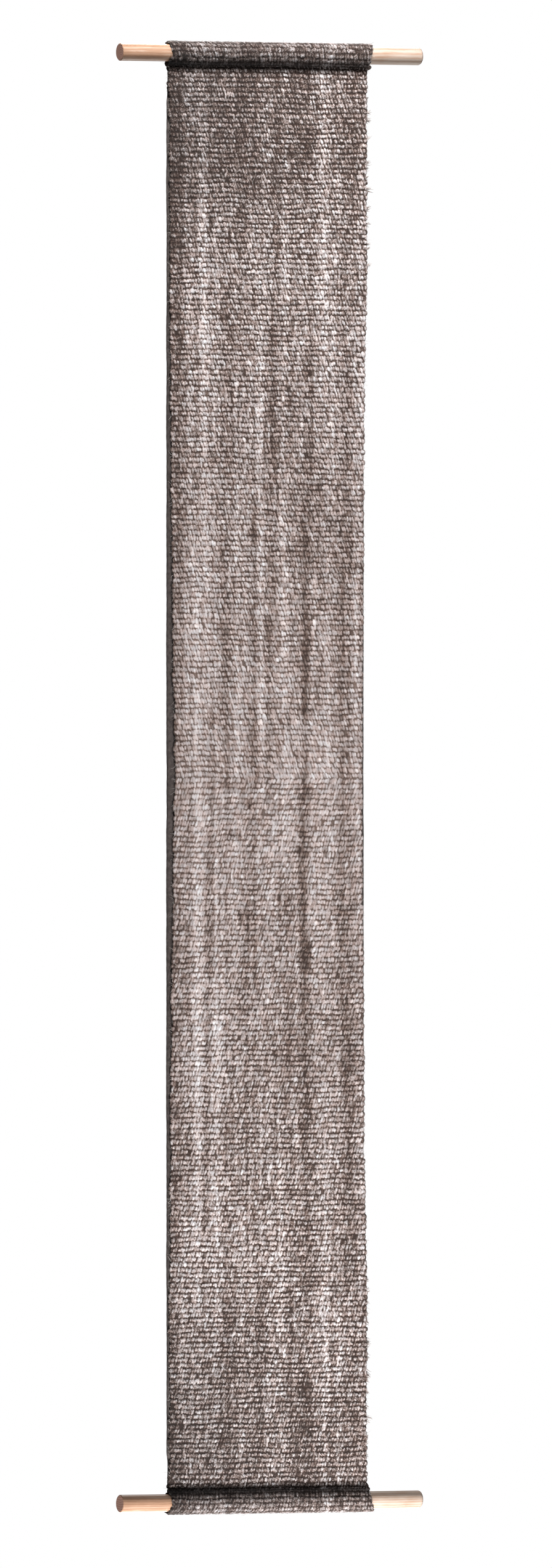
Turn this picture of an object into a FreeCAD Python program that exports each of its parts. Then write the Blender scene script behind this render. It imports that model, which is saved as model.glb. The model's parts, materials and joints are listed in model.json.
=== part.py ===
"""Woven wool wall hanging: a thick strip of cloth between two wooden dowels, with a thin lining behind it.

The cloth goes over the top dowel and under the bottom dowel. Both ends are turned to the back and stitched
down, so each dowel lies in a round casing. The panel between the casings is divided into four lengths that
fold against each other, because cloth bends anywhere along its height.

Frame, in millimetres: X runs along the dowels, -Y faces the viewer, +Z is up, and the origin is the middle
of the top dowel's axis.
"""
import FreeCAD, Part
import math
import os

# Dowels
DOWEL_DIAMETER = 25.0
DOWEL_LENGTH = 480.0
DOWEL_SPACING = 2060.0  # between the two axes
SQUARE_END_CHAMFER = 0.8  # left ends, sawn square
ROUND_END_RADIUS = 4.0  # right ends, sanded round

# Woven cloth
CLOTH_THICKNESS = 4.8
CLOTH_FRONT = -3.2  # Y of the panel's front face
PANEL_WIDTH = 316.0
PANEL_CENTRE = -7.0  # X: the cloth hangs a little left of the dowels' middle
CASING_WIDTH = 328.0
CASING_CENTRE = -2.0
CASING_CLEARANCE = 0.3  # between dowel and casing, and between casing and panel
HEM_END = 55.0  # distance of a hem's raw edge from its dowel's axis

# Lining
LINING_THICKNESS = 1.6

# Folds between the panel's lengths
LENGTH_NAMES = ["top", "upper", "lower", "bottom"]
LARGEST_FOLD = 60.0  # degrees, to either side
FOLD_MARGIN = 1.0  # degrees left over on each side of the fold
FOLD_GAP = 0.3  # between two lengths, on the fold's axis

# Thread
SEAM_THREAD = 1.2
SEAM_PITCH = 10.0
SEAM_OFFSET = 21.5  # distance of a casing's seam from its dowel's axis
LINING_THREAD = 0.8
LINING_PITCH = 14.0
LINING_MARGIN = 6.0  # from the lining's edges to its thread

# Worked out from the above
DOWEL_RADIUS = DOWEL_DIAMETER / 2
CASING_INNER_RADIUS = DOWEL_RADIUS + CASING_CLEARANCE
CASING_OUTER_RADIUS = CASING_INNER_RADIUS + CLOTH_THICKNESS
CLOTH_BACK = CLOTH_FRONT + CLOTH_THICKNESS
LINING_BACK = CLOTH_BACK + LINING_THICKNESS
HEM_BACK = CLOTH_BACK + CLOTH_THICKNESS
PANEL_LEFT = PANEL_CENTRE - PANEL_WIDTH / 2
PANEL_RIGHT = PANEL_CENTRE + PANEL_WIDTH / 2
LENGTH_HEIGHT = DOWEL_SPACING / len(LENGTH_NAMES)
FOLD_SLOPE = math.tan(math.radians(LARGEST_FOLD / 2 + FOLD_MARGIN))
TOP_AXIS = 0.0
BOTTOM_AXIS = -DOWEL_SPACING

X_AXIS = FreeCAD.Vector(1, 0, 0)
Y_AXIS = FreeCAD.Vector(0, 1, 0)


def rod(radius, length, centre_x, axis_z):
    """Round bar along X."""
    start = FreeCAD.Vector(centre_x - length / 2, 0, axis_z)
    return Part.makeCylinder(radius, length, start, X_AXIS)


def block(low, high):
    """Box between two opposite corners."""
    size = [b - a for a, b in zip(low, high)]
    return Part.makeBox(*size, FreeCAD.Vector(*low))


def dowel(axis_z):
    """Wooden rod with its left end cut square and its right end rounded."""
    bar = rod(DOWEL_RADIUS, DOWEL_LENGTH, 0.0, axis_z)
    left_rim = [e for e in bar.Edges if e.BoundBox.XMax < 0]
    bar = bar.makeChamfer(SQUARE_END_CHAMFER, left_rim)
    right_rim = [e for e in bar.Edges if e.BoundBox.XMin > 0]
    return bar.makeFillet(ROUND_END_RADIUS, right_rim)


def casing(axis_z):
    """The stretch of cloth rolled round a dowel."""
    outside = rod(CASING_OUTER_RADIUS, CASING_WIDTH, CASING_CENTRE, axis_z)
    inside = rod(CASING_INNER_RADIUS, CASING_WIDTH, CASING_CENTRE, axis_z)
    return outside.cut(inside)


def clear_of_casing(shape, axis_z):
    """Hollows out an end that meets a casing, so that it can swing round it."""
    room = CASING_OUTER_RADIUS + CASING_CLEARANCE
    return shape.cut(rod(room, CASING_WIDTH, CASING_CENTRE, axis_z))


def fold_rise(y):
    """How far a length's end draws back from the fold at depth y, so that both sides can fold."""
    return FOLD_GAP / 2 + abs(y) * FOLD_SLOPE


def hanging_layer(front, back, top, bottom, top_folds, bottom_folds):
    """Layer of cloth between two depths and two heights, with a bevelled end wherever it meets a fold."""
    depths = [front, back]
    if front < 0 < back:
        depths = [front, 0.0, back]
    upper = [(y, top - fold_rise(y) if top_folds else top) for y in depths]
    lower = [(y, bottom + fold_rise(y) if bottom_folds else bottom) for y in depths]
    outline = upper + lower[::-1]
    corners = [FreeCAD.Vector(PANEL_LEFT, y, z) for y, z in outline + outline[:1]]
    profile = Part.Face(Part.makePolygon(corners))
    return profile.extrude(X_AXIS * PANEL_WIDTH)


def panel_length(number):
    """One of the panel's lengths, counted from the top."""
    is_first = number == 0
    is_last = number == len(LENGTH_NAMES) - 1
    top = TOP_AXIS - number * LENGTH_HEIGHT
    bottom = top - LENGTH_HEIGHT
    layer = hanging_layer(CLOTH_FRONT, CLOTH_BACK, top, bottom, not is_first, not is_last)
    if is_first:
        layer = clear_of_casing(layer, TOP_AXIS)
    if is_last:
        layer = clear_of_casing(layer, BOTTOM_AXIS)
    pieces = sorted(layer.Solids, key=lambda solid: solid.Volume)
    return pieces[-1]


def lining_ends(number):
    """Top and bottom heights of the lining behind one of the panel's lengths."""
    top = TOP_AXIS - max(number * LENGTH_HEIGHT, HEM_END)
    bottom = max(TOP_AXIS - (number + 1) * LENGTH_HEIGHT, BOTTOM_AXIS + HEM_END)
    return top, bottom


def lining_length(number):
    """The lining behind one of the panel's lengths."""
    top, bottom = lining_ends(number)
    is_first = number == 0
    is_last = number == len(LENGTH_NAMES) - 1
    return hanging_layer(CLOTH_BACK, LINING_BACK, top, bottom, not is_first, not is_last)


def hem(axis_z, towards_middle):
    """End of the cloth, turned to the back of the panel next to a casing."""
    heights = sorted([axis_z, axis_z + towards_middle * HEM_END])
    low = (PANEL_LEFT, CLOTH_BACK, heights[0])
    high = (PANEL_RIGHT, HEM_BACK, heights[1])
    return clear_of_casing(block(low, high), axis_z)


def running_stitch(length, pitch, thread, front, back):
    """Thread along X from the origin, lying in turn on the depths front and back."""
    half = pitch / 2
    count = int(length // half)
    side = thread / 2
    bars = []
    for n in range(count):
        near, far = (front - thread, front) if n % 2 == 0 else (back, back + thread)
        bars.append(block((n * half - side, near, -side), ((n + 1) * half + side, far, side)))
    for n in range(1, count):
        bars.append(block((n * half - side, front - side, -side), (n * half + side, back + side, side)))
    return bars[0].multiFuse(bars[1:]).removeSplitter()


def seam_thread(axis_z, towards_middle):
    """Row of stitches through panel and hem that closes a casing."""
    row = running_stitch(PANEL_WIDTH - SEAM_PITCH, SEAM_PITCH, SEAM_THREAD, CLOTH_FRONT, HEM_BACK)
    row.translate(FreeCAD.Vector(PANEL_LEFT + SEAM_PITCH / 2, 0, axis_z + towards_middle * SEAM_OFFSET))
    return row


def lining_threads(number):
    """The two rows of stitches that hold the lining to the back of one of the panel's lengths."""
    top, bottom = lining_ends(number)
    rows = []
    for x in (PANEL_LEFT + LINING_MARGIN, PANEL_RIGHT - LINING_MARGIN):
        row = running_stitch(
            top - bottom - LINING_PITCH, LINING_PITCH, LINING_THREAD, CLOTH_BACK - LINING_THREAD, LINING_BACK
        )
        row.rotate(FreeCAD.Vector(0, 0, 0), Y_AXIS, 90)
        row.translate(FreeCAD.Vector(x, 0, top - LINING_PITCH / 2))
        rows.append(row)
    return Part.makeCompound(rows)


nodes = {
    "top_dowel": dowel(TOP_AXIS),
    "bottom_dowel": dowel(BOTTOM_AXIS),
    "top_casing": casing(TOP_AXIS),
    "bottom_casing": casing(BOTTOM_AXIS),
    "top_hem": hem(TOP_AXIS, -1),
    "bottom_hem": hem(BOTTOM_AXIS, 1),
    "top_seam_thread": seam_thread(TOP_AXIS, -1),
    "bottom_seam_thread": seam_thread(BOTTOM_AXIS, 1),
}
for index, name in enumerate(LENGTH_NAMES):
    nodes["panel_" + name] = panel_length(index)
    nodes["lining_" + name] = lining_length(index)
    nodes["lining_thread_" + name] = lining_threads(index)

os.makedirs("parts", exist_ok=True)
for name, shape in nodes.items():
    if not shape.isValid():
        raise ValueError(name + " is not a valid shape")
    shape.exportStep("parts/" + name + ".step")
    box = shape.BoundBox
    print(f"{name:22s} {len(shape.Solids)} solid(s) {shape.Volume / 1000:9.2f} cm3  "
          f"x {box.XMin:.1f}..{box.XMax:.1f}  y {box.YMin:.1f}..{box.YMax:.1f}  z {box.ZMin:.1f}..{box.ZMax:.1f}")
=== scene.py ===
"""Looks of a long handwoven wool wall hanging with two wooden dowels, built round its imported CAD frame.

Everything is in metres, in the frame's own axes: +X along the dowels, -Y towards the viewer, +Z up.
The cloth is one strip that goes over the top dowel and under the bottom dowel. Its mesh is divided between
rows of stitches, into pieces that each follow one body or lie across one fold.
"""
import json
import math

import bpy
import numpy as np
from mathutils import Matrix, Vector


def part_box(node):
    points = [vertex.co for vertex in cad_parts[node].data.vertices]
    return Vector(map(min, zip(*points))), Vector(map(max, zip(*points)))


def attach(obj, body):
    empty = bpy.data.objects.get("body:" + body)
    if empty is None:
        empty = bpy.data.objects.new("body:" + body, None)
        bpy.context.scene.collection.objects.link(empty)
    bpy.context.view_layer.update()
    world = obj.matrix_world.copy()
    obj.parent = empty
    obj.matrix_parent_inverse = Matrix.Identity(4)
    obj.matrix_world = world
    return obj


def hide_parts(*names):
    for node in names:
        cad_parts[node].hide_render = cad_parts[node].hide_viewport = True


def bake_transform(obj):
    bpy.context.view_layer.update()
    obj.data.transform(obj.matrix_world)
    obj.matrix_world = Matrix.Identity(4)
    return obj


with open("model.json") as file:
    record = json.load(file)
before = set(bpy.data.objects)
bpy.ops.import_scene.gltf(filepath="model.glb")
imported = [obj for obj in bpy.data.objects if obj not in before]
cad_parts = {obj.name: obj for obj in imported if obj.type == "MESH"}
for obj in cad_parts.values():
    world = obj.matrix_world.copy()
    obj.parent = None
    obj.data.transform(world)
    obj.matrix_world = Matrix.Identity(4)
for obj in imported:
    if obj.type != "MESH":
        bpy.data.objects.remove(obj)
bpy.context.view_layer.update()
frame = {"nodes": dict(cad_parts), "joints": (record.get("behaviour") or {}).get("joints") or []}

MM = 0.001

# Places and sizes that the frame gives
dowel_low, dowel_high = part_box("top_dowel")
casing_low, casing_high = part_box("top_casing")
panel_low, panel_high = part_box("panel_top")
hem_low, hem_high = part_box("top_hem")
lining_low, lining_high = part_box("lining_top")
lower_dowel_low, lower_dowel_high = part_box("bottom_dowel")
TOP_AXIS = (dowel_low.z + dowel_high.z) / 2
BOTTOM_AXIS = (lower_dowel_low.z + lower_dowel_high.z) / 2
MIDDLE = (TOP_AXIS + BOTTOM_AXIS) / 2
CLOTH = panel_high.y - panel_low.y
PANEL_DEPTH = (panel_low.y + panel_high.y) / 2
HEM_DEPTH = (hem_low.y + hem_high.y) / 2
HEM_END = hem_low.z
ROLL_RADIUS = casing_high.y - CLOTH / 2
FOLDS = [joint["pos_m"][2] for joint in frame["joints"] if joint["name"].endswith("_fold")]
LENGTHS = ["top_length", "upper_length", "lower_length", "bottom_length"]

# Weave
STITCHES = 70  # across the cloth
END_ROW = 7.0 * MM
MIDDLE_ROW = 7.54 * MM
ACROSS_SAMPLES = 5  # to a stitch
DOWN_SAMPLES = 7  # to a row
LEAN = 0.46  # stitches that a row moves sideways over its height
RELIEF = 1.5 * MM  # from the bottom of a gap to the top of a stitch
STITCH_HALF_WIDTH = 0.60  # of the distance between two stitches
STITCH_HALF_HEIGHT = 0.505  # of the distance between two rows
SPARE = 3  # stitches and rows with values of their own past each end of the cloth
FILLET = 4.0 * MM  # bend between roll and panel
LEFT_EDGE = panel_low.x + 3.8 * MM
RIGHT_EDGE = panel_high.x + 2.2 * MM
LEFT_DRAW_IN = 8.7 * MM  # at mid-height
RIGHT_DRAW_IN = 7.4 * MM
DARK_BAND = 0.70  # place across the cloth, from 0 at the left to 1 at the right

# Lining and threads
LINING = lining_high.y - lining_low.y
LINING_OVERLAP = 31.0 * MM  # over each hem
LINING_CELL = 4.0 * MM
SEAM_DROP = 21.5 * MM
SEAM_PITCH = 10.0 * MM
SEAM_RADIUS = 0.6 * MM
LINING_PITCH = 14.0 * MM
LINING_MARGIN = 6.0 * MM
LINING_THREAD_RADIUS = 0.4 * MM

# Loose fibres
HAIR_STEPS = 7  # rings along a hair
HAIR_SIDES = 3
HAIRS_PER_ROW = 8
EDGE_SHARE = 0.45  # of the hairs, those on the cloth's side edges
STRANDS_PER_LOCK = 10
PLAIN_LOCKS = (63 * MM, 82 * MM, 88 * MM, 94 * MM)  # from the nearer dowel's axis
SCATTERED_LOCKS = 16


# Camera, light and stage

def point_at(thing, target):
    """Turns a camera or a light to look at a point."""
    away = Vector(target) - thing.location
    thing.rotation_euler = away.to_track_quat("-Z", "Y").to_euler()


def make_camera():
    """A very long lens, level with the middle of the hanging and well round to its left."""
    azimuth = math.radians(-27)
    distance = 34.7
    visible_height = 2.232
    aside = 8 * MM
    above = -1038.8 * MM
    camera = bpy.data.objects.new("camera", bpy.data.cameras.new("camera"))
    camera.data.sensor_fit = "VERTICAL"
    camera.data.sensor_height = 36
    camera.data.lens = camera.data.sensor_height * distance / visible_height
    camera.data.clip_end = 2 * distance
    back = Vector((math.sin(azimuth), -math.cos(azimuth), 0))
    right = Vector((math.cos(azimuth), math.sin(azimuth), 0))
    target = right * aside + Vector((0, 0, above))
    camera.location = target + back * distance
    point_at(camera, target)
    bpy.context.collection.objects.link(camera)
    bpy.context.scene.camera = camera


def make_light(name, place, target, size, power, spread=180):
    """Square soft box that the camera doesn't see. The power is in watts and the spread in degrees."""
    light = bpy.data.lights.new(name, "AREA")
    light.size = size
    light.energy = power
    light.spread = math.radians(spread)
    soft_box = bpy.data.objects.new(name, light)
    soft_box.location = place
    soft_box.visible_camera = False
    point_at(soft_box, target)
    bpy.context.collection.objects.link(soft_box)


def make_lights():
    """At each end a key light, one for the dowels' glint and one behind. One more for the middle."""
    for name, axis, outwards in (("upper", TOP_AXIS, 1), ("lower", BOTTOM_AXIS, -1)):
        key = (-0.45, -1.0, axis + outwards * 1.43)
        glint = (0.75, -0.9, axis + outwards * 1.25)
        back = (0.8, 2.2, axis + outwards * 1.25)
        on_back = (0, 0, axis - outwards * 0.35)
        make_light(name + "_front", key, (0, 0, axis), size=0.5, power=10.4, spread=50)
        make_light(name + "_glint", glint, (0, 0, axis), size=0.5, power=5.5)
        make_light(name + "_back", back, on_back, size=1.2, power=90)
    make_light("middle_front", (0.35, -2.6, MIDDLE), (0, 0, MIDDLE), size=0.9, power=4.1, spread=44)


def make_world():
    """White where the camera sees it, and dim for everything that it lights."""
    world = bpy.data.worlds.new("world")
    world.use_nodes = True
    tree = world.node_tree
    fill = tree.nodes["Background"]
    seen = tree.nodes.new("ShaderNodeBackground")
    for node, strength in ((fill, 0.1), (seen, 1.0)):
        node.inputs["Color"].default_value = (1, 1, 1, 1)
        node.inputs["Strength"].default_value = strength
    path = tree.nodes.new("ShaderNodeLightPath")
    mix = tree.nodes.new("ShaderNodeMixShader")
    tree.links.new(path.outputs["Is Camera Ray"], mix.inputs["Fac"])
    tree.links.new(fill.outputs[0], mix.inputs[1])
    tree.links.new(seen.outputs[0], mix.inputs[2])
    tree.links.new(mix.outputs[0], tree.nodes["World Output"].inputs["Surface"])
    bpy.context.scene.world = world
    bpy.context.scene.view_settings.view_transform = "Standard"


# Material helpers

def new_material(name, roughness):
    """A material, its node tree and its shader."""
    made = bpy.data.materials.new(name)
    made.use_nodes = True
    shader = made.node_tree.nodes["Principled BSDF"]
    shader.inputs["Roughness"].default_value = roughness
    return made, made.node_tree, shader


def feed(tree, socket, value):
    """Links a socket to another one, or sets its own value."""
    if isinstance(value, bpy.types.NodeSocket):
        tree.links.new(value, socket)
    else:
        socket.default_value = value


def attribute(tree, name):
    """A number that each point of the mesh carries."""
    node = tree.nodes.new("ShaderNodeAttribute")
    node.attribute_name = name
    return node.outputs["Fac"]


def calculate(tree, operation, first, second=0.0):
    """Sum, product or other operation on two values."""
    node = tree.nodes.new("ShaderNodeMath")
    node.operation = operation
    feed(tree, node.inputs[0], first)
    feed(tree, node.inputs[1], second)
    return node.outputs[0]


def stretched_place(tree, scale):
    """Object coordinates, stretched along each axis."""
    place = tree.nodes.new("ShaderNodeTexCoord")
    node = tree.nodes.new("ShaderNodeMapping")
    node.inputs["Scale"].default_value = scale
    tree.links.new(place.outputs["Object"], node.inputs["Vector"])
    return node.outputs[0]


def noise(tree, scale, detail=2.0, roughness=0.5, place=None):
    """Cloudy texture from 0 to 1."""
    node = tree.nodes.new("ShaderNodeTexNoise")
    feed(tree, node.inputs["Vector"], place or stretched_place(tree, (1, 1, 1)))
    node.inputs["Scale"].default_value = scale
    node.inputs["Detail"].default_value = detail
    node.inputs["Roughness"].default_value = roughness
    return node.outputs["Fac"]


def ramp(tree, value, stops):
    """Colour that depends on a value. Each stop is a position and a colour."""
    node = tree.nodes.new("ShaderNodeValToRGB")
    elements = node.color_ramp.elements
    for element, (position, colour) in zip(elements, (stops[0], stops[-1])):
        element.position = position
        element.color = (*colour, 1)
    for position, colour in stops[1:-1]:
        elements.new(position).color = (*colour, 1)
    feed(tree, node.inputs["Fac"], value)
    return node.outputs["Color"]


def mix_colours(tree, amount, first, second, blend="MIX"):
    """Two colours mixed by an amount from 0 to 1."""
    node = tree.nodes.new("ShaderNodeMix")
    node.data_type = "RGBA"
    node.blend_type = blend
    feed(tree, node.inputs["Factor"], amount)
    for name, value in (("A", first), ("B", second)):
        socket = [s for s in node.inputs if s.name == name and s.type == "RGBA"][0]
        feed(tree, socket, value)
    return [s for s in node.outputs if s.type == "RGBA"][0]


def about_middle(tree, value, strength):
    """A texture's value around 0 instead of around a half, times a strength."""
    return calculate(tree, "MULTIPLY", calculate(tree, "SUBTRACT", value, 0.5), strength)


def weighted_sum(tree, *parts):
    """Sum of values, each given with its weight."""
    first, *others = [calculate(tree, "MULTIPLY", value, weight) for value, weight in parts]
    for other in others:
        first = calculate(tree, "ADD", first, other)
    return first


def bump(tree, shader, height, depth):
    """Fine relief of the given depth in metres."""
    node = tree.nodes.new("ShaderNodeBump")
    node.inputs["Distance"].default_value = depth
    feed(tree, node.inputs["Height"], height)
    tree.links.new(node.outputs[0], shader.inputs["Normal"])


# Materials

def leaning_place(tree, angle):
    """Object coordinates turned by an angle in degrees, mirrored about mid-height as the weave is."""
    source = tree.nodes.new("ShaderNodeTexCoord")
    apart = tree.nodes.new("ShaderNodeSeparateXYZ")
    together = tree.nodes.new("ShaderNodeCombineXYZ")
    node = tree.nodes.new("ShaderNodeMapping")
    tree.links.new(source.outputs["Object"], apart.inputs[0])
    for axis in "XY":
        tree.links.new(apart.outputs[axis], together.inputs[axis])
    height = calculate(tree, "ABSOLUTE", calculate(tree, "SUBTRACT", apart.outputs["Z"], MIDDLE))
    tree.links.new(height, together.inputs["Z"])
    node.inputs["Rotation"].default_value = (0, math.radians(angle), 0)
    tree.links.new(together.outputs[0], node.inputs["Vector"])
    return node.outputs[0]


def make_wool():
    """Thick wool: light slanting stitches over dark brown gaps, with loose fibres. The relief darkens the
    gaps and lightens the stitch tops, which is the yarn's own colour together with painted shade and painted
    highlight; the shade attribute multiplies in painted shade on the rolls, in their grooves and beside them.
    """
    made, tree, shader = new_material("handspun_wool", 0.95)
    stretch = tree.nodes.new("ShaderNodeMapping")
    stretch.inputs["Scale"].default_value = (1, 1, 0.38)
    tree.links.new(leaning_place(tree, -24), stretch.inputs["Vector"])
    fibres = noise(tree, scale=900, roughness=0.75, place=stretch.outputs[0])
    tufts = noise(tree, scale=420, roughness=0.6)
    texture = calculate(tree, "ADD", about_middle(tree, fibres, 1.8), about_middle(tree, tufts, 0.5))
    texture = calculate(tree, "MULTIPLY", texture, attribute(tree, "crispness"))
    # painted shade and painted highlight: a low relief darkens the gaps and a high one lightens the stitch
    # tops, on top of the yarn's own dark core and pale stitches
    stitches = weighted_sum(tree, (attribute(tree, "relief"), 0.72), (attribute(tree, "tone"), 0.24))
    colour = ramp(tree, calculate(tree, "ADD", stitches, texture), [
        (0.05, (0.030, 0.018, 0.014)),
        (0.32, (0.125, 0.091, 0.077)),
        (0.58, (0.338, 0.296, 0.285)),
        (0.82, (0.540, 0.511, 0.506)),
        (1.00, (0.698, 0.680, 0.678)),
    ])
    tint = ramp(tree, noise(tree, scale=120, roughness=0.6), [
        (0.36, (1.0, 0.925, 0.905)),
        (0.64, (0.93, 0.955, 0.985)),
    ])
    colour = mix_colours(tree, 1.0, colour, tint, "MULTIPLY")
    # painted shade from the shade attribute: darker on the rolls, in their grooves and beside the rolls
    colour = mix_colours(tree, 1.0, colour, attribute(tree, "shade"), "MULTIPLY")
    tree.links.new(colour, shader.inputs["Base Color"])
    shader.inputs["Sheen Weight"].default_value = 0.08
    shader.inputs["Sheen Roughness"].default_value = 0.6
    shader.inputs["Specular IOR Level"].default_value = 0.12
    bump(tree, shader, fibres, 0.5 * MM)
    return made


def make_fuzz_material():
    """Loose wool fibres, from dark brown to nearly white."""
    made, tree, shader = new_material("loose_fibre", 0.9)
    colour = ramp(tree, attribute(tree, "tone"), [
        (0.0, (0.10, 0.075, 0.065)),
        (0.5, (0.34, 0.29, 0.27)),
        (1.0, (0.78, 0.73, 0.70)),
    ])
    tree.links.new(colour, shader.inputs["Base Color"])
    shader.inputs["Specular IOR Level"].default_value = 0.2
    return made


def weave_wave(tree, direction, place):
    """Stripes of the lining's fine plain weave, across one direction."""
    node = tree.nodes.new("ShaderNodeTexWave")
    node.bands_direction = direction
    node.inputs["Scale"].default_value = 330
    node.inputs["Distortion"].default_value = 1.2
    tree.links.new(place, node.inputs["Vector"])
    return node.outputs["Fac"]


def make_lining_material():
    """Dark plain-woven cotton lining. Its dark strip beside the wool's drawn-in left edge stands in for a
    shadow there, so it is partly a painted shadow.
    """
    made, tree, shader = new_material("dark_lining_and_painted_shadow", 0.9)
    place = stretched_place(tree, (1, 1, 1))
    threads = calculate(tree, "MULTIPLY", weave_wave(tree, "X", place), weave_wave(tree, "Z", place))
    wear = noise(tree, scale=170, detail=4.0, roughness=0.6)
    colour = ramp(tree, weighted_sum(tree, (threads, 0.35), (wear, 0.8)), [
        (0.25, (0.018, 0.014, 0.013)),
        (0.50, (0.048, 0.038, 0.035)),
        (0.75, (0.105, 0.087, 0.082)),
    ])
    tree.links.new(colour, shader.inputs["Base Color"])
    shader.inputs["Sheen Weight"].default_value = 0.03
    shader.inputs["Specular IOR Level"].default_value = 0.2
    bump(tree, shader, threads, 0.25 * MM)
    return made


def make_thread_material():
    """Waxed brown thread."""
    made, tree, shader = new_material("brown_thread", 0.6)
    colour = ramp(tree, noise(tree, scale=700, roughness=0.6), [
        (0.3, (0.045, 0.032, 0.026)),
        (0.7, (0.120, 0.090, 0.072)),
    ])
    tree.links.new(colour, shader.inputs["Base Color"])
    return made


def wood_rings(tree, place):
    """Rings of growth about an axis a little beside the dowel's own."""
    node = tree.nodes.new("ShaderNodeTexWave")
    node.wave_type = "RINGS"
    node.rings_direction = "X"
    node.inputs["Scale"].default_value = 95
    node.inputs["Distortion"].default_value = 5.0
    node.inputs["Detail"].default_value = 3.0
    node.inputs["Detail Scale"].default_value = 0.8
    beside = tree.nodes.new("ShaderNodeMapping")
    beside.inputs["Scale"].default_value = (0.08, 1, 1)
    beside.inputs["Location"].default_value = (0, 4 * MM, 7 * MM)
    tree.links.new(place, beside.inputs["Vector"])
    tree.links.new(beside.outputs[0], node.inputs["Vector"])
    return node.outputs["Fac"]


def x_of(tree, vector):
    """X of a vector."""
    node = tree.nodes.new("ShaderNodeSeparateXYZ")
    tree.links.new(vector, node.inputs[0])
    return node.outputs["X"]


def make_wood():
    """Lightly sanded wood whose grain runs along the dowel, with darker end grain. It is painted paler
    towards the right, as though more light fell there: painted light.
    """
    made, tree, shader = new_material("pale_wood", 0.32)
    place = tree.nodes.new("ShaderNodeTexCoord").outputs["Object"]
    rings = wood_rings(tree, place)
    pores = noise(tree, scale=900, detail=3.0, roughness=0.7, place=stretched_place(tree, (0.04, 1, 1)))
    clouds = noise(tree, scale=60, detail=3.0, roughness=0.55, place=stretched_place(tree, (0.35, 1, 1)))
    # painted light: the X term makes the wood paler towards the right
    figure_and_painted_light = weighted_sum(tree, (pores, 0.4), (clouds, 0.5), (rings, 0.16), (x_of(tree, place), 0.6))
    long_grain = ramp(tree, figure_and_painted_light, [
        (0.10, (0.170, 0.085, 0.048)),
        (0.45, (0.305, 0.182, 0.118)),
        (0.70, (0.400, 0.318, 0.262)),
        (0.95, (0.470, 0.402, 0.350)),
    ])
    end_grain = ramp(tree, rings, [
        (0.0, (0.300, 0.160, 0.120)),
        (1.0, (0.420, 0.250, 0.200)),
    ])
    facing = x_of(tree, tree.nodes.new("ShaderNodeNewGeometry").outputs["Normal"])
    on_end = calculate(tree, "GREATER_THAN", calculate(tree, "ABSOLUTE", facing), 0.8)
    tree.links.new(mix_colours(tree, on_end, long_grain, end_grain), shader.inputs["Base Color"])
    shader.inputs["Specular IOR Level"].default_value = 0.4
    bump(tree, shader, pores, 0.12 * MM)
    return made


def make_floor_material():
    """Pale matt floor."""
    made, tree, shader = new_material("pale_floor", 0.85)
    colour = ramp(tree, noise(tree, scale=3), [
        (0.3, (0.78, 0.78, 0.77)),
        (0.7, (0.84, 0.84, 0.83)),
    ])
    tree.links.new(colour, shader.inputs["Base Color"])
    return made


# Mesh helpers

def add_mesh(name, points, smooth_faces, flat_faces, material):
    """Object with a mesh of smooth-shaded and flat-shaded faces."""
    mesh = bpy.data.meshes.new(name)
    mesh.from_pydata(np.asarray(points).reshape(-1, 3), [], smooth_faces + flat_faces)
    smooth = np.arange(len(mesh.polygons)) < len(smooth_faces)
    mesh.polygons.foreach_set("use_smooth", smooth)
    keep_rims_sharp(mesh, len(smooth_faces))
    mesh.materials.append(material)
    made = bpy.data.objects.new(name, mesh)
    bpy.context.collection.objects.link(made)
    return made


def keep_rims_sharp(mesh, first_flat):
    """Stops the flat faces from changing the shading of the smooth ones beside them."""
    edge_of_corner = np.zeros(len(mesh.loops), np.int32)
    mesh.loops.foreach_get("edge_index", edge_of_corner)
    is_sharp = np.zeros(len(mesh.edges), bool)
    is_sharp[edge_of_corner[mesh.polygons[first_flat].loop_start:]] = True
    mesh.edges.foreach_set("use_edge_sharp", is_sharp)


def carry(thing, name, values):
    """Gives each point of a mesh a number that its material reads."""
    data = thing.data.attributes.new(name, "FLOAT", "POINT")
    data.data.foreach_set("value", np.asarray(values, np.float32).ravel())


def smooth_noise(seed, across, down):
    """Random field with one wave to a unit, from -1 to 1. The same seed gives the same field."""
    cells = 128
    table = np.random.default_rng(seed).uniform(-1, 1, (cells, cells))
    column = np.floor(across).astype(int)
    row = np.floor(down).astype(int)
    u = across - column
    v = down - row
    u = u * u * (3 - 2 * u)
    v = v * v * (3 - 2 * v)
    left, right = column % cells, (column + 1) % cells
    above, below = row % cells, (row + 1) % cells
    upper = table[above, left] * (1 - u) + table[above, right] * u
    lower = table[below, left] * (1 - u) + table[below, right] * u
    return upper * (1 - v) + lower * v


def ease(value, start, end):
    """Goes smoothly from 0 at start to 1 at end."""
    t = np.clip((value - start) / (end - start), 0, 1)
    return t * t * (3 - 2 * t)


def from_nearer_axis(height):
    """Distance up or down from the nearer dowel's axis."""
    return np.minimum(TOP_AXIS - height, height - BOTTOM_AXIS)


def towards_middle(height):
    """0 at the dowels' axes and 1 at mid-height."""
    return np.clip(1 - np.abs(height - MIDDLE) / (TOP_AXIS - MIDDLE), 0, 1)


# The cloth's route

def arc(centre, radius, start, end, side):
    """Points along an arc in the YZ plane, and the way that the cloth faces there. side is 1 for outwards."""
    angles = np.radians(np.linspace(start, end, 2 + int(abs(end - start))))
    facing = np.stack([np.cos(angles), np.sin(angles)], 1)
    return np.array(centre) + radius * facing, side * facing


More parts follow.
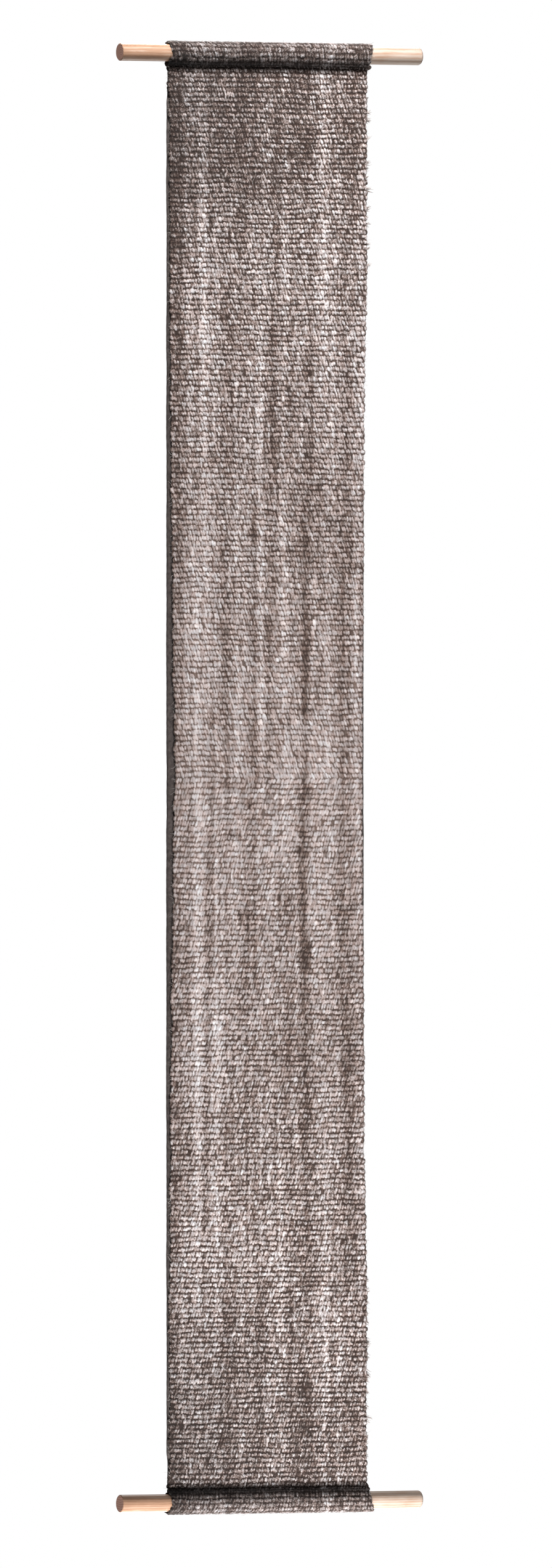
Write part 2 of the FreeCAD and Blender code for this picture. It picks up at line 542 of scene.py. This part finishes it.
def half_route():
    """Centre line of the cloth's upper half, from its raw end to mid-height, and the way that it faces."""
    rim = ROLL_RADIUS + FILLET
    back_y = HEM_DEPTH + FILLET
    front_y = PANEL_DEPTH - FILLET
    back_centre = (back_y, TOP_AXIS - math.sqrt(rim ** 2 - back_y ** 2))
    front_centre = (front_y, TOP_AXIS - math.sqrt(rim ** 2 - front_y ** 2))
    back_angle = math.degrees(math.atan2(back_centre[1] - TOP_AXIS, back_y))
    front_angle = 360 + math.degrees(math.atan2(front_centre[1] - TOP_AXIS, front_y))
    stretches = [
        (np.array([[HEM_DEPTH, HEM_END]]), np.array([[1.0, 0.0]])),
        arc(back_centre, FILLET, 180, back_angle + 180, -1),
        arc((0, TOP_AXIS), ROLL_RADIUS, back_angle, front_angle, 1),
        arc(front_centre, FILLET, front_angle - 180, 0, -1),
        (np.array([[PANEL_DEPTH, MIDDLE]]), np.array([[-1.0, 0.0]])),
    ]
    points = np.concatenate([p for p, _ in stretches])
    facing = np.concatenate([f for _, f in stretches])
    steps = np.hypot(*np.diff(points, axis=0).T)
    return np.concatenate([[0], np.cumsum(steps)]), points, facing


ROUTE_LENGTH, ROUTE_POINTS, ROUTE_FACING = half_route()
HALF_LENGTH = ROUTE_LENGTH[-1]
BEND_START = ROUTE_LENGTH[1]  # where the hem bends onto the roll
PANEL_START = ROUTE_LENGTH[-2]  # where the bend off the roll ends


def row_table():
    """Number of rows from the raw end to each of many places along the half route, and those places."""
    along = np.linspace(0, HALF_LENGTH, 4000)
    pitch = END_ROW + (MIDDLE_ROW - END_ROW) * along / HALF_LENGTH
    count = np.concatenate([[0], np.cumsum(np.diff(along) / pitch[1:])])
    whole = round(count[-1])
    return count * whole / count[-1], along, whole


ROW_COUNT, ROW_ALONG, HALF_ROWS = row_table()
ROWS = 2 * HALF_ROWS


def route_at(rows):
    """Place along the half route, centre and facing of each row. The lower half mirrors the upper one."""
    below = rows > HALF_ROWS
    mirrored = np.where(below, ROWS - rows, rows)
    along = np.interp(mirrored, ROW_COUNT, ROW_ALONG)
    y, z = (np.interp(along, ROUTE_LENGTH, ROUTE_POINTS[:, k]) for k in (0, 1))
    face_y, face_z = (np.interp(along, ROUTE_LENGTH, ROUTE_FACING[:, k]) for k in (0, 1))
    z = np.where(below, 2 * MIDDLE - z, z)
    face_z = np.where(below, -face_z, face_z)
    size = np.hypot(face_y, face_z)
    return along, y, z, face_y / size, face_z / size


def row_at_height(z):
    """Boundary between two rows of the panel's front that is nearest to a height."""
    rows = np.arange(ROWS + 1)
    _, _, heights, face_y, _ = route_at(rows)
    on_panel = face_y < -0.99
    return int(rows[on_panel][np.argmin(abs(heights[on_panel] - z))])


# The weave

def stitch_values(seed, low, high):
    """Random value for every stitch, with some to spare on each side."""
    shape = (ROWS + 2 * SPARE, STITCHES + 2 * SPARE)
    return np.random.default_rng(seed).uniform(low, high, shape)


# Places are in stitches and rows, sizes are shares of the usual one, and a tone is lighter above 0
STITCH_ASIDE = stitch_values(1, -0.22, 0.22)
STITCH_DOWN = stitch_values(2, -0.09, 0.09)
STITCH_WIDTH = stitch_values(3, 0.72, 1.14)
STITCH_HEIGHT = stitch_values(4, 0.72, 1.24)
STITCH_RISE = stitch_values(5, 0.60, 1.06)
STITCH_TONE = stitch_values(6, -0.42, 0.42)
STITCH_LEAN = stitch_values(7, -0.35, 0.35)
STITCH_CHANCE = stitch_values(8, 0, 1)
SLUBS = STITCH_CHANCE < 0.008  # thick pale lumps of yarn
HOLES = STITCH_CHANCE > 0.994  # thin dark places
STITCH_WIDTH[SLUBS] = 1.12
STITCH_RISE[SLUBS] = 1.05
STITCH_TONE[SLUBS] = 0.6
STITCH_RISE[HOLES] = 0.35
STITCH_TONE[HOLES] = -0.9


def wander(columns, rows):
    """Stitch coordinates after the rows and columns have wandered a little, as they do in handwork."""
    moved_rows = rows + 0.24 * smooth_noise(11, columns / 10, rows / 6)
    moved_rows = moved_rows + 0.07 * smooth_noise(12, columns / 2.5, rows / 2)
    moved_columns = columns + 0.30 * smooth_noise(13, columns / 7, rows / 8)
    return moved_columns, moved_rows


def stitch_rise(pick, across, down, loose):
    """Height of the picked stitches, from 0 outside them, at places given from their usual centres."""
    aside = STITCH_ASIDE[pick] + STITCH_LEAN[pick] * down
    across = (across - aside) / (STITCH_HALF_WIDTH * STITCH_WIDTH[pick])
    down = (down - STITCH_DOWN[pick]) / (STITCH_HALF_HEIGHT * STITCH_HEIGHT[pick] * loose)
    body = np.clip(1 - np.abs(across) ** 2 - np.abs(down) ** 2.3, 0, 1)
    return STITCH_RISE[pick] * np.sqrt(body)


def neighbours(place):
    """The whole number below each place, and the ones before and after it."""
    here = np.floor(place).astype(int)
    return here - 1, here, here + 1


def weave(columns, rows):
    """Relief from 0 to about 1, and the tone of the stitch that lies on top, at each sample of the cloth."""
    columns, rows = wander(columns, rows)
    relief = np.zeros(columns.shape)
    # where no stitch lies on top, the tone is darker: the dark core yarn, with painted shade in the gaps
    tone = np.full(columns.shape, -0.6)
    for row in neighbours(rows):
        lean = np.where(row < HALF_ROWS, LEAN, -LEAN) * (1 + 0.5 * smooth_noise(17, columns / 9, row / 7))
        loose = 1 + 0.17 * smooth_noise(14, columns / 5, row * 1.37)
        down = rows - row - 0.5
        across = columns - 0.5 * (row % 2) - lean * down
        for column in neighbours(across):
            spare_row = np.clip(row + SPARE, 0, ROWS + 2 * SPARE - 1)
            spare_column = np.clip(column + SPARE, 0, STITCHES + 2 * SPARE - 1)
            pick = spare_row, spare_column
            rise = stitch_rise(pick, across - column - 0.5, down, loose)
            on_top = rise > relief
            relief = np.where(on_top, rise, relief)
            tone = np.where(on_top, STITCH_TONE[pick], tone)
    rough = 0.16 * smooth_noise(15, columns * 2.3, rows * 2.1)
    rough = rough + 0.12 * smooth_noise(16, columns * 4.6, rows * 4.3)
    return np.clip(relief + rough * (0.3 + relief), 0, 1.3), tone


def band(place, centre, half_width):
    """Soft band down the cloth: 1 on its centre, fading to both sides. Places go from 0, left, to 1."""
    return np.exp(-((place - centre) / half_width) ** 2)


def patches(columns, rows):
    """Lighter and darker patches of yarn, from small ones to zones and to long streaks down the cloth."""
    tone = 0.16 * smooth_noise(21, columns / 6, rows / 14)
    tone = tone + 0.12 * smooth_noise(22, columns / 2, rows / 5)
    tone = tone + 0.44 * smooth_noise(24, columns / 1.3, rows / 45)
    tone = tone + 0.36 * smooth_noise(25, columns / 3.2, rows / 70)
    return tone + 0.26 * smooth_noise(27, columns / 28, rows / 19)


def stains(columns, rows):
    """A few small dark spots, and more of them along the dark band."""
    scattered = 3 * np.clip(smooth_noise(23, columns / 3.5, rows / 3) - 0.70, 0, 0.25)
    spots = np.clip(smooth_noise(26, columns / 8, rows / 4) - 0.35, 0, 0.45)
    return scattered + 1.8 * band(columns / STITCHES, DARK_BAND, 0.04) * spots


def streaks(columns, rows, height):
    """Broad changes of tone: bands down the cloth, patches, stains, and painted shade in a dark stretch
    beside each roll.
    """
    place = columns / STITCHES
    light = 0.55 * band(place, 0.15, 0.08) + 0.50 * band(place, 0.79, 0.05)
    dark = 0.38 * band(place, DARK_BAND, 0.035) + 0.35 * band(place, 0.02, 0.04)
    # painted shade beside each roll, strongest at the left end of the rows
    roll_shade = (0.60 - 0.35 * place) * (1 - ease(from_nearer_axis(height), 0, 330 * MM))
    return light - dark - roll_shade + patches(columns, rows) - stains(columns, rows)


def side_edges(along, height):
    """X of the cloth's left and right edges: widest on the roll, and drawn in towards mid-height."""
    middle = towards_middle(height)
    on_front = ease(along, PANEL_START - 1 * MM, PANEL_START)
    right_share = 0.55 * ease(middle, 0.3, 0.5) + 0.45 * ease(middle, 0.5, 1)
    left = LEFT_EDGE + LEFT_DRAW_IN * middle ** 2 * on_front
    right = RIGHT_EDGE - RIGHT_DRAW_IN * right_share * on_front
    onto_roll = ease(along, BEND_START - 12 * MM, BEND_START + 3 * MM)
    left_off_roll = ease(along, PANEL_START - 8 * MM, PANEL_START + 6 * MM)
    right_off_roll = ease(along, PANEL_START - 50 * MM, PANEL_START - 20 * MM)
    left = left + (casing_low.x + 2 * MM - left) * (onto_roll - left_off_roll)
    right = right + (casing_high.x - right) * (onto_roll - right_off_roll)
    return left, right


def on_roll(along):
    """1 on the roll and 0 on the panel and the hem."""
    onto_roll = ease(along, BEND_START, BEND_START + 6 * MM)
    return onto_roll - ease(along, PANEL_START - 3 * MM, PANEL_START + 3 * MM)


def end_shade(columns, along, height):
    """Brightness of the yarn, all painted shade: darker on the rolls, a painted shadow in their grooves, and
    darker beside the rolls towards the left.
    """
    place = columns / STITCHES
    # painted shadow in the groove under each roll
    into_groove = ease(along, PANEL_START - 17 * MM, PANEL_START - 9 * MM)
    groove = into_groove - ease(along, PANEL_START + 1 * MM, PANEL_START + 6 * MM)
    beside = (0.46 - 0.44 * place) * (1 - ease(from_nearer_axis(height), 60 * MM, 420 * MM))
    rolled = on_roll(along)
    return 1 - (0.64 - 0.28 * place) * rolled - beside * (1 - rolled) - 0.28 * groove


def edge_bulge(columns, rows):
    """How far each row's turn stands out of the cloth's edges, in metres, at each sample."""
    _, moved = wander(columns, rows)
    turn = moved - np.floor(moved)
    jitter = np.random.default_rng(31).uniform(-1, 1, ROWS + 2 * SPARE)
    own = jitter[np.clip(np.floor(moved).astype(int) + SPARE, 0, ROWS + 2 * SPARE - 1)]
    bulge = (1.3 * (1 - (2 * turn - 1) ** 2) + 1.3 * own) * MM
    reach = 0.9  # stitches
    near_left = np.exp(-columns / reach)
    near_right = np.exp(-(STITCHES - columns) / reach)
    left_wander = 1.5 * MM * smooth_noise(32, columns * 0, rows / 2.2) * np.exp(-columns / 4)
    return bulge * (near_right - near_left) + left_wander


def cross_section():
    """Stitch coordinates once round the cloth: along its face from left to right, then along its back."""
    rounding = 0.3  # stitches from the edges
    face = np.arange(STITCHES * ACROSS_SAMPLES + 1) / ACROSS_SAMPLES
    back = np.concatenate([[STITCHES - rounding], np.arange(STITCHES - 1, 0, -1), [rounding]])
    return face, back


def soften(relief, soft, rolled):
    """Relief drawn towards its average height: most at mid-height, a little on the rolls."""
    average = 0.74 - 0.10 * rolled
    return relief + (0.56 * soft + 0.15 * rolled) * (average - relief)


def cloth_surface(rows):
    """Points, relief, tone, crispness and shade of the strip for the given row samples."""
    face, back = cross_section()
    columns = np.tile(np.concatenate([face, back]), (len(rows), 1))
    on_face = np.arange(columns.shape[1]) < len(face)
    grid_rows = np.repeat(rows[:, None], columns.shape[1], 1)
    along, y, z, face_y, face_z = (values[:, None] for values in route_at(rows))
    left, right = side_edges(along, z)
    relief, tone = weave(columns, grid_rows)
    tone = tone + streaks(columns, grid_rows, z)
    pitch = (right - left) / STITCHES
    inwards = np.minimum(columns, STITCHES - columns) * pitch / (0.55 * CLOTH)
    round_off = np.sqrt(np.clip(1 - (1 - np.clip(inwards, 0, 1)) ** 2, 0, 1))
    soft = towards_middle(z) ** 1.05
    relief = soften(relief, soft, on_roll(along))
    outer = CLOTH / 2 - RELIEF * (1 - relief)
    inner = -CLOTH / 2 + 0.25 * MM * smooth_noise(41, columns, grid_rows)
    rise = np.where(on_face, outer, inner) * round_off
    x = left + pitch * columns + edge_bulge(columns, grid_rows)
    points = np.stack([x, y + face_y * rise, z + face_z * rise], 2)
    # painted shade: the colour's relief fades where the cloth turns round its side edges, so the colour
    # darkens there
    relief = np.where(on_face, relief * (0.45 + 0.55 * round_off), 0.45)
    crispness = np.broadcast_to(1.06 - 0.96 * soft, relief.shape)
    return points, relief, tone * (1 - 0.15 * soft), crispness, end_shade(columns, along, z)


def strip_faces(count, width):
    """Quads of a closed strip of count loops with width points each."""
    loop = np.arange(width)
    following = (loop + 1) % width
    start = np.arange(count - 1)[:, None] * width
    quads = np.stack([start + loop, start + width + loop, start + width + following, start + following], 2)
    return quads.reshape(-1, 4)


def cap_faces(base, width, is_last):
    """Faces that close one end of the cloth, one to a stitch."""
    faces = []
    for stitch in range(STITCHES):
        front = range(stitch * ACROSS_SAMPLES, (stitch + 1) * ACROSS_SAMPLES + 1)
        behind = (width - 2 - stitch, width - 1 - stitch)
        outline = [base + index for index in (*front, *behind)]
        faces.append(outline[::-1] if is_last else outline)
    return faces


def lay_out(thing, rows, width, caps):
    """Texture map laid out along the weave: the unrolled strip, with its two cut ends past it."""
    strip_share = 0.97  # of the map's height
    loop = np.arange(width)
    row = np.arange(rows - 1)[:, None]
    corners = [(loop, row), (loop, row + 1), (loop + 1, row + 1), (loop + 1, row)]
    strip = [np.broadcast_arrays(u / width, strip_share * v / (rows - 1)) for u, v in corners]
    strip = np.stack([np.stack(pair, -1) for pair in strip], 2).reshape(-1, 2)
    ends = [(index % width / width, 0.98 + 0.01 * (index < width)) for face in caps for index in face]
    layer = thing.data.uv_layers.new(name="OFBake")
    layer.uv.foreach_set("vector", np.concatenate([strip, np.array(ends)]).astype(np.float32).ravel())


def make_cloth_piece(name, first, last, material):
    """The cloth between two rows, as a closed strip."""
    rows = np.linspace(first, last, (last - first) * DOWN_SAMPLES + 1)
    points, *values = cloth_surface(rows)
    count, width = points.shape[:2]
    sides = strip_faces(count, width).tolist()
    caps = cap_faces(0, width, False) + cap_faces((count - 1) * width, width, True)
    made = add_mesh(name, points, sides, caps, material)
    for value_name, value in zip(("relief", "tone", "crispness", "shade"), values):
        carry(made, value_name, value)
    lay_out(made, count, width, caps)
    return made


# Which bodies each stretch of the hanging follows


def middle_of_length(number):
    """Height of the middle of one of the four lengths, where cloth follows that length alone."""
    ends = [TOP_AXIS, *FOLDS, BOTTOM_AXIS]
    return (ends[number] + ends[number + 1]) / 2


def follow(piece, fold):
    """Attaches a piece past the first and last fold to one length. A piece across a fold, counted from 1,
    gets its place baked into its mesh.
    """
    if fold == 0:
        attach(piece, LENGTHS[0])
    elif fold > len(FOLDS):
        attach(piece, LENGTHS[-1])
    else:
        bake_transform(piece)


STRETCHES = ["top", "upper_fold", "middle_fold", "lower_fold", "bottom"]
PIECES_PER_STRETCH = [2, 3, 3, 3, 2]
CLOTH_STANDS_FOR = {
    "cloth_top_1": ["top_casing", "top_hem"],
    "cloth_top_2": ["panel_top"],
    "cloth_upper_fold_1": ["panel_upper"],
    "cloth_middle_fold_3": ["panel_lower"],
    "cloth_bottom_1": ["panel_bottom"],
    "cloth_bottom_2": ["bottom_casing", "bottom_hem"],
}


def stretch_rows():
    """Row boundaries where the five stretches of cloth start and end."""
    inner = [row_at_height(middle_of_length(number)) for number in range(len(LENGTHS))]
    return [0, *inner, ROWS]


def make_cloth():
    """The whole strip, in pieces that meet between two rows."""
    wool = make_wool()
    limits = stretch_rows()
    for fold, (stretch, parts) in enumerate(zip(STRETCHES, PIECES_PER_STRETCH)):
        cuts = np.linspace(limits[fold], limits[fold + 1], parts + 1).round().astype(int)
        for part in range(parts):
            name = f"cloth_{stretch}_{part + 1}"
            piece = make_cloth_piece(name, int(cuts[part]), int(cuts[part + 1]), wool)
            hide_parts(*CLOTH_STANDS_FOR.get(name, []))
            follow(piece, fold)


# Lining

def from_hem_end(z):
    """Distance of a height from the nearer hem's raw edge, towards the middle. It is below 0 at the hem."""
    return from_nearer_axis(z) + (HEM_END - TOP_AXIS)


def behind_hem(z):
    """1 where the lining lies over a hem, and 0 where it lies flat behind the cloth."""
    return 1 - ease(from_hem_end(z), 1 * MM, 17 * MM)


def lining_depth(x, z):
    """Y of the lining's middle: over the hems' raw edges, then flat behind the cloth, slightly puckered."""
    flat = (lining_low.y + lining_high.y) / 2 + 0.3 * MM
    over_hem = hem_high.y + 0.4 * MM + LINING / 2
    waves = 0.35 * MM * smooth_noise(51, x / (45 * MM), z / (60 * MM))
    from_edge = np.minimum(x - lining_low.x, lining_high.x - x)
    along_stitches = np.exp(-((from_edge - LINING_MARGIN) / (7 * MM)) ** 2)
    puckers = 0.45 * MM * along_stitches * np.cos(2 * np.pi * z / LINING_PITCH)
    puckers = puckers * ease(from_hem_end(z), 10 * MM, 30 * MM)
    return flat + (over_hem - flat) * behind_hem(z) + waves + puckers


def lining_inset(z):
    """How far the lining's edges draw in: most of all where it goes over a hem."""
    return (1.0 + 4.0 * behind_hem(z)) * MM


def lining_thickness(x):
    """The edges are turned under, so they are a little thicker than the rest."""
    from_edge = np.minimum(x - lining_low.x, lining_high.x - x)
    return LINING * (1 + 0.35 * (1 - ease(from_edge, 9 * MM, 11 * MM)))


def closed_sheet(name, front, back, material):
    """Thin closed sheet between two equal grids of points."""
    points = np.concatenate([front, back[:, ::-1]], 1)
    count, width = points.shape[:2]
    columns = front.shape[1]
    sides = strip_faces(count, width).tolist()
    ends = []
    for base, is_last in ((0, False), ((count - 1) * width, True)):
        for column in range(columns - 1):
            mirrored = width - 1 - column
            outline = [base + column, base + column + 1, base + mirrored - 1, base + mirrored]
            ends.append(outline[::-1] if is_last else outline)
    return add_mesh(name, points, sides, ends, material)


def make_lining_piece(name, top, bottom, material):
    """The lining between two heights."""
    whole_width = lining_high.x - lining_low.x
    centre = (lining_low.x + lining_high.x) / 2
    across = 1 + round(whole_width / LINING_CELL)
    down = 1 + round((top - bottom) / LINING_CELL)
    x, z = np.meshgrid(np.linspace(lining_low.x, lining_high.x, across), np.linspace(top, bottom, down))
    depth = lining_depth(x, z)
    half = lining_thickness(x) / 2
    at_edge = (x == x.max()) | (x == x.min())
    x = x + 0.4 * MM * smooth_noise(52, x * 0, z / (30 * MM)) * np.sign(x - centre) * at_edge
    x = centre + (x - centre) * (1 - 2 * lining_inset(z) / whole_width)
    front = np.stack([x, depth - half, z], 2)
    back = np.stack([x, depth + half, z], 2)
    made = closed_sheet(name, front, back, material)
    return made


def lining_limits():
    """Heights where the three pieces of lining start and end."""
    top = HEM_END + LINING_OVERLAP
    bottom = TOP_AXIS + BOTTOM_AXIS - top
    return [top, middle_of_length(1), middle_of_length(2), bottom]


def make_lining():
    """The whole lining, in three pieces that meet halfway between two folds."""
    dark = make_lining_material()
    limits = lining_limits()
    stands_for = [["lining_top", "lining_upper"], ["lining_lower"], ["lining_bottom"]]
    for part, nodes in enumerate(stands_for):
        piece = make_lining_piece(f"lining_{STRETCHES[part + 1]}", limits[part], limits[part + 1], dark)
        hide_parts(*nodes)
        follow(piece, part + 1)


# Threads

def stitch_wave(along, pitch, front, back):
    """Depth of a running stitch: it lies on the front, goes through, and lies on the back."""
    swing = np.tanh(4 * np.sin(2 * np.pi * along / pitch)) / math.tanh(4)
    return (front + back) / 2 + (back - front) / 2 * swing


def crosswise(path, reference):
    """Two directions at right angles to a path and to each other. The reference mustn't be parallel to it."""
    ahead = np.gradient(path, axis=-2)
    ahead /= np.linalg.norm(ahead, axis=-1)[..., None]
    beside = np.cross(ahead, reference)
    beside /= np.linalg.norm(beside, axis=-1)[..., None]
    return beside, np.cross(ahead, beside)


def thread_rings(path, radius, sides):
    """Rings of a two-ply thread round a path."""
    beside, other = crosswise(path, (0.37, 0.41, 0.83))
    travelled = np.concatenate([[0], np.cumsum(np.linalg.norm(np.diff(path, axis=0), axis=1))])
    angle = np.linspace(0, 2 * np.pi, sides, endpoint=False)
    twist = travelled[:, None] * 2 * np.pi / (6 * radius)
    reach = radius * (0.88 + 0.12 * np.cos(2 * (angle - twist)))
    sideways = beside[:, None] * (reach * np.cos(angle))[:, :, None]
    return path[:, None] + sideways + other[:, None] * (reach * np.sin(angle))[:, :, None]


def make_thread(name, paths, radius, sides, material):
    """One mesh with a thread along each path."""
    points, side_quads, ends = [], [], []
    base = 0
    for path in paths:
        points.append(thread_rings(path, radius, sides).reshape(-1, 3))
        side_quads += (strip_faces(len(path), sides) + base).tolist()
        ends.append(list(range(base, base + sides)))
        base += len(path) * sides
        ends.append(list(range(base - 1, base - 1 - sides, -1)))
    made = add_mesh(name, np.concatenate(points), side_quads, ends, material)
    return made


def make_seam_threads(material):
    """The stitches that close each roll, through panel and hem."""
    for name, height, body in (
        ("top_seam_stitches", TOP_AXIS - SEAM_DROP, LENGTHS[0]),
        ("bottom_seam_stitches", BOTTOM_AXIS + SEAM_DROP, LENGTHS[-1]),
    ):
        x = np.arange(panel_low.x + SEAM_PITCH / 2, panel_high.x - SEAM_PITCH / 2, SEAM_PITCH / 20)
        front = panel_low.y + 0.3 * MM
        back = hem_high.y + 0.3 * MM
        y = stitch_wave(x - x[0] - SEAM_PITCH / 8, SEAM_PITCH, front, back)
        path = np.stack([x, y, np.full_like(x, height)], 1)
        piece = make_thread(name, [path], SEAM_RADIUS, 8, material)
        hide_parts(name.replace("stitches", "thread"))
        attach(piece, body)


def lining_thread_x(z, side):
    """The stitches follow the drawn-in edge of the wool. side is -1 at the left and 1 at the right."""
    on_front = np.full_like(z, HALF_LENGTH)
    edge = side_edges(on_front, z)[0 if side < 0 else 1]
    return edge - side * LINING_MARGIN


def make_lining_threads(material):
    """The two rows of stitches that hold the lining to the wool, in pieces like the lining's."""
    limits = lining_limits()
    stands_for = [
        ["lining_thread_top", "lining_thread_upper"],
        ["lining_thread_lower"],
        ["lining_thread_bottom"],
    ]
    for part, nodes in enumerate(stands_for):
        top = min(limits[part], HEM_END - LINING_PITCH / 2)
        bottom = max(limits[part + 1], TOP_AXIS + BOTTOM_AXIS - HEM_END + LINING_PITCH / 2)
        z = np.arange(top, bottom, -LINING_PITCH / 16)
        paths = []
        for side in (-1, 1):
            x = lining_thread_x(z, side)
            surface = lining_depth(x, z) + LINING / 2
            y = stitch_wave(z, LINING_PITCH, panel_high.y - 0.6 * MM, surface + 0.2 * MM)
            paths.append(np.stack([x, y, z], 1))
        name = f"lining_stitches_{STRETCHES[part + 1]}"
        piece = make_thread(name, paths, LINING_THREAD_RADIUS, 6, material)
        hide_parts(*nodes)
        follow(piece, part + 1)


# Loose fibres

def hair_rings(roots, ways, lengths, lifts, radius):
    """Thin tapered hairs. ways are directions, and lifts are how far each one arches."""
    t = np.linspace(0, 1, HAIR_STEPS)[None, :, None]
    path = roots[:, None] + ways[:, None] * lengths[:, None, None] * t + lifts[:, None] * 4 * t * (1 - t)
    beside, other = crosswise(path, (0.31, 0.87, 0.38))
    taper = radius[:, None, None] * (1 - 0.8 * t)
    angles = np.radians(np.arange(HAIR_SIDES) * 360 / HAIR_SIDES)
    rings = [path + taper * (math.cos(a) * beside + math.sin(a) * other) for a in angles]
    return np.stack(rings, 2)


def hair_faces(count):
    """Faces of many hairs, and the two ends of each."""
    points = HAIR_STEPS * HAIR_SIDES
    first = np.arange(count) * points
    sides = (first[:, None, None] + strip_faces(HAIR_STEPS, HAIR_SIDES)).reshape(-1, 4)
    starts = first[:, None] + np.arange(HAIR_SIDES)
    ends = starts[:, ::-1] + points - HAIR_SIDES
    return sides.tolist(), starts.tolist() + ends.tolist()


def make_hairs(name, rings, tones, material):
    """One mesh with all the hairs. Each has a tone from 0, dark, to 1."""
    sides, ends = hair_faces(len(tones))
    made = add_mesh(name, rings, sides, ends, material)
    carry(made, "tone", np.repeat(tones, HAIR_STEPS * HAIR_SIDES))
    return made


def surface_frame(rows, columns):
    """Points just under the tops of the stitches, and the way the cloth faces there."""
    along, y, z, face_y, face_z = route_at(rows)
    left, right = side_edges(along, z)
    x = left + (right - left) * columns / STITCHES
    depth = CLOTH / 2 - 0.8 * MM
    facing = np.stack([np.zeros_like(face_y), face_y, face_z], 1)
    return np.stack([x, y, z], 1) + facing * depth, facing


def fuzz_places(rng, first, last, count):
    """Rows and columns of loose fibres, whether each is on a side edge, and its side: 0 left, 1 right."""
    rows = rng.uniform(first, last, count)
    on_edge = rng.uniform(0, 1, count) < EDGE_SHARE
    side = np.where(rng.uniform(0, 1, count) < 0.5, 0.0, 1.0)
    near_edge = side * STITCHES + rng.normal(0, 0.25, count)
    columns = np.where(on_edge, near_edge, rng.uniform(0.5, STITCHES - 0.5, count))
    return rows, np.clip(columns, 0.1, STITCHES - 0.1), on_edge, side


def fuzz_ways(rng, facing, on_edge, side):
    """Directions of loose fibres: outwards on the side edges, and any way along the face elsewhere."""
    count = len(side)
    outwards = np.where(on_edge, 2 * side - 1, 0)
    angle = rng.uniform(0, 2 * np.pi, count)
    x = np.where(on_edge, outwards * rng.uniform(0.15, 1, count), np.cos(angle))
    down = np.where(on_edge, rng.normal(0, 0.9, count), np.sin(angle))
    tangent = np.cross(facing, (1.0, 0, 0))
    ways = np.stack([x, np.zeros(count), np.zeros(count)], 1) + tangent * down[:, None]
    ways = ways + facing * rng.uniform(0.0, 0.12, count)[:, None]
    return ways / np.linalg.norm(ways, axis=1)[:, None]


def make_fuzz(name, first, last, material, seed):
    """Loose fibres on the cloth's face and side edges, between two rows."""
    rng = np.random.default_rng(seed)
    count = (last - first) * HAIRS_PER_ROW
    rows, columns, on_edge, side = fuzz_places(rng, first, last, count)
    roots, facing = surface_frame(rows, columns)
    roots = roots - facing * (on_edge * 1.4 * MM)[:, None]
    ways = fuzz_ways(rng, facing, on_edge, side)
    lengths = rng.uniform(4, 13, count) * MM * np.where(on_edge, 0.7, 1.0)
    lifts = facing * (rng.uniform(0.3, 1.6, count) * MM)[:, None] + rng.normal(0, 0.8, (count, 3)) * MM
    rings = hair_rings(roots, ways, lengths, lifts, rng.uniform(0.09, 0.17, count) * MM)
    return make_hairs(name, rings, rng.uniform(0.2, 1, count), material)


def make_frays(name, side, material, seed):
    """Short locks of loose yarn on the right edge beside the upper (side 1) or the lower roll (side -1)."""
    rng = np.random.default_rng(seed)
    scattered = rng.uniform(110 * MM, 320 * MM, SCATTERED_LOCKS)
    from_axis = np.concatenate([PLAIN_LOCKS, scattered])
    height = TOP_AXIS - from_axis if side > 0 else BOTTOM_AXIS + from_axis
    locks = len(height)
    count = STRANDS_PER_LOCK * locks
    rows = np.repeat([row_at_height(z) for z in height], STRANDS_PER_LOCK) + rng.normal(0, 0.22, count)
    roots, facing = surface_frame(rows, STITCHES + rng.uniform(-0.9, 0.0, count))
    roots = roots - facing * (rng.uniform(0.6, 2.8, count) * MM)[:, None]
    slant = np.repeat(rng.normal(0.25 * side, 0.45, locks), STRANDS_PER_LOCK) + rng.normal(0, 0.22, count)
    ways = np.stack([np.ones(count), rng.normal(0, 0.12, count), slant], 1)
    ways /= np.linalg.norm(ways, axis=1)[:, None]
    size = np.repeat(rng.uniform(0.4, 1.0, locks), STRANDS_PER_LOCK)
    lengths = size * rng.uniform(8, 12, count) * MM
    lifts = rng.normal(0, 0.4, (count, 3)) * MM
    rings = hair_rings(roots, ways, lengths, lifts, rng.uniform(0.45, 0.8, count) * MM)
    return make_hairs(name, rings, rng.uniform(0.15, 0.65, count), material)


def make_all_fuzz():
    """Loose fibres on each stretch of the cloth."""
    fibre = make_fuzz_material()
    follow(make_frays("frays_top", 1, fibre, 71), 0)
    follow(make_frays("frays_bottom", -1, fibre, 72), len(STRETCHES) - 1)
    limits = stretch_rows()
    for fold, stretch in enumerate(STRETCHES):
        piece = make_fuzz(f"fuzz_{stretch}", limits[fold], limits[fold + 1], fibre, 61 + fold)
        follow(piece, fold)


# Dowels and floor

def finish_dowels():
    """Gives the two CAD dowels their wood."""
    wood = make_wood()
    for name in ("top_dowel", "bottom_dowel"):
        for place in frame["nodes"][name].material_slots:
            place.material = wood


def make_floor():
    """Pale floor below the hanging, which the level camera doesn't see. It doesn't shade the lower lights."""
    half = 3.0
    height = BOTTOM_AXIS - 0.55
    corners = [(-half, -half, height), (half, -half, height), (half, half, height), (-half, half, height)]
    floor = add_mesh("floor", np.array(corners), [], [[0, 1, 2, 3]], make_floor_material())
    floor.visible_shadow = False


make_camera()
make_lights()
make_world()
make_cloth()
make_lining()
thread = make_thread_material()
make_seam_threads(thread)
make_lining_threads(thread)
make_all_fuzz()
finish_dowels()
make_floor()
